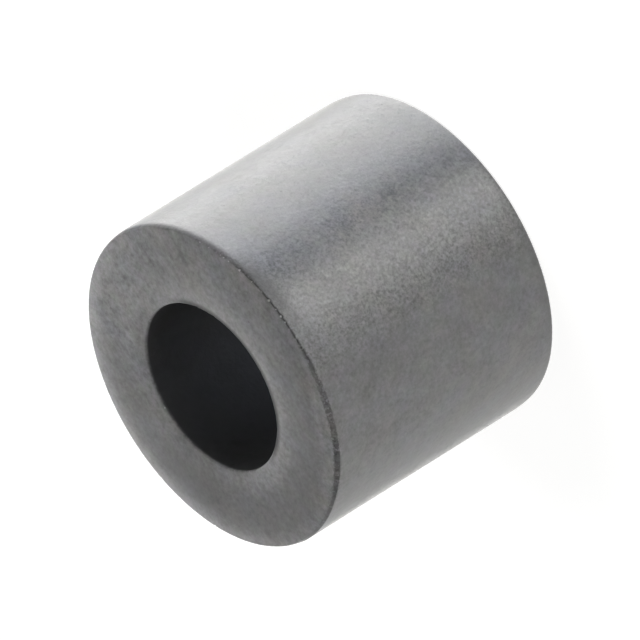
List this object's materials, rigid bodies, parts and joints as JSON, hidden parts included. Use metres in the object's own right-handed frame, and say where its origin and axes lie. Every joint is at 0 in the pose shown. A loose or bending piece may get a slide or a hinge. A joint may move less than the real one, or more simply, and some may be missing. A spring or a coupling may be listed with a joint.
{
  "type": "ferrite sleeve",
  "caption": "Plain cylindrical ferrite sleeve with a round through bore; a wire or cable is led through it to damp high-frequency noise.",
  "frame": {"origin": "middle of the lower end, on the axis of the bore, in the plane that the sleeve stands on", "axes": "+Z along the axis of the bore; the sleeve is round, so X and Y are free"},
  "size_m": [0.0094, 0.0094, 0.0081],
  "materials": {
    "ferrite": "bare fired ferrite, satin"
  },
  "bodies": {
    "root": {"ferrite_sleeve": "ferrite"}
  },
  "joints": []
}
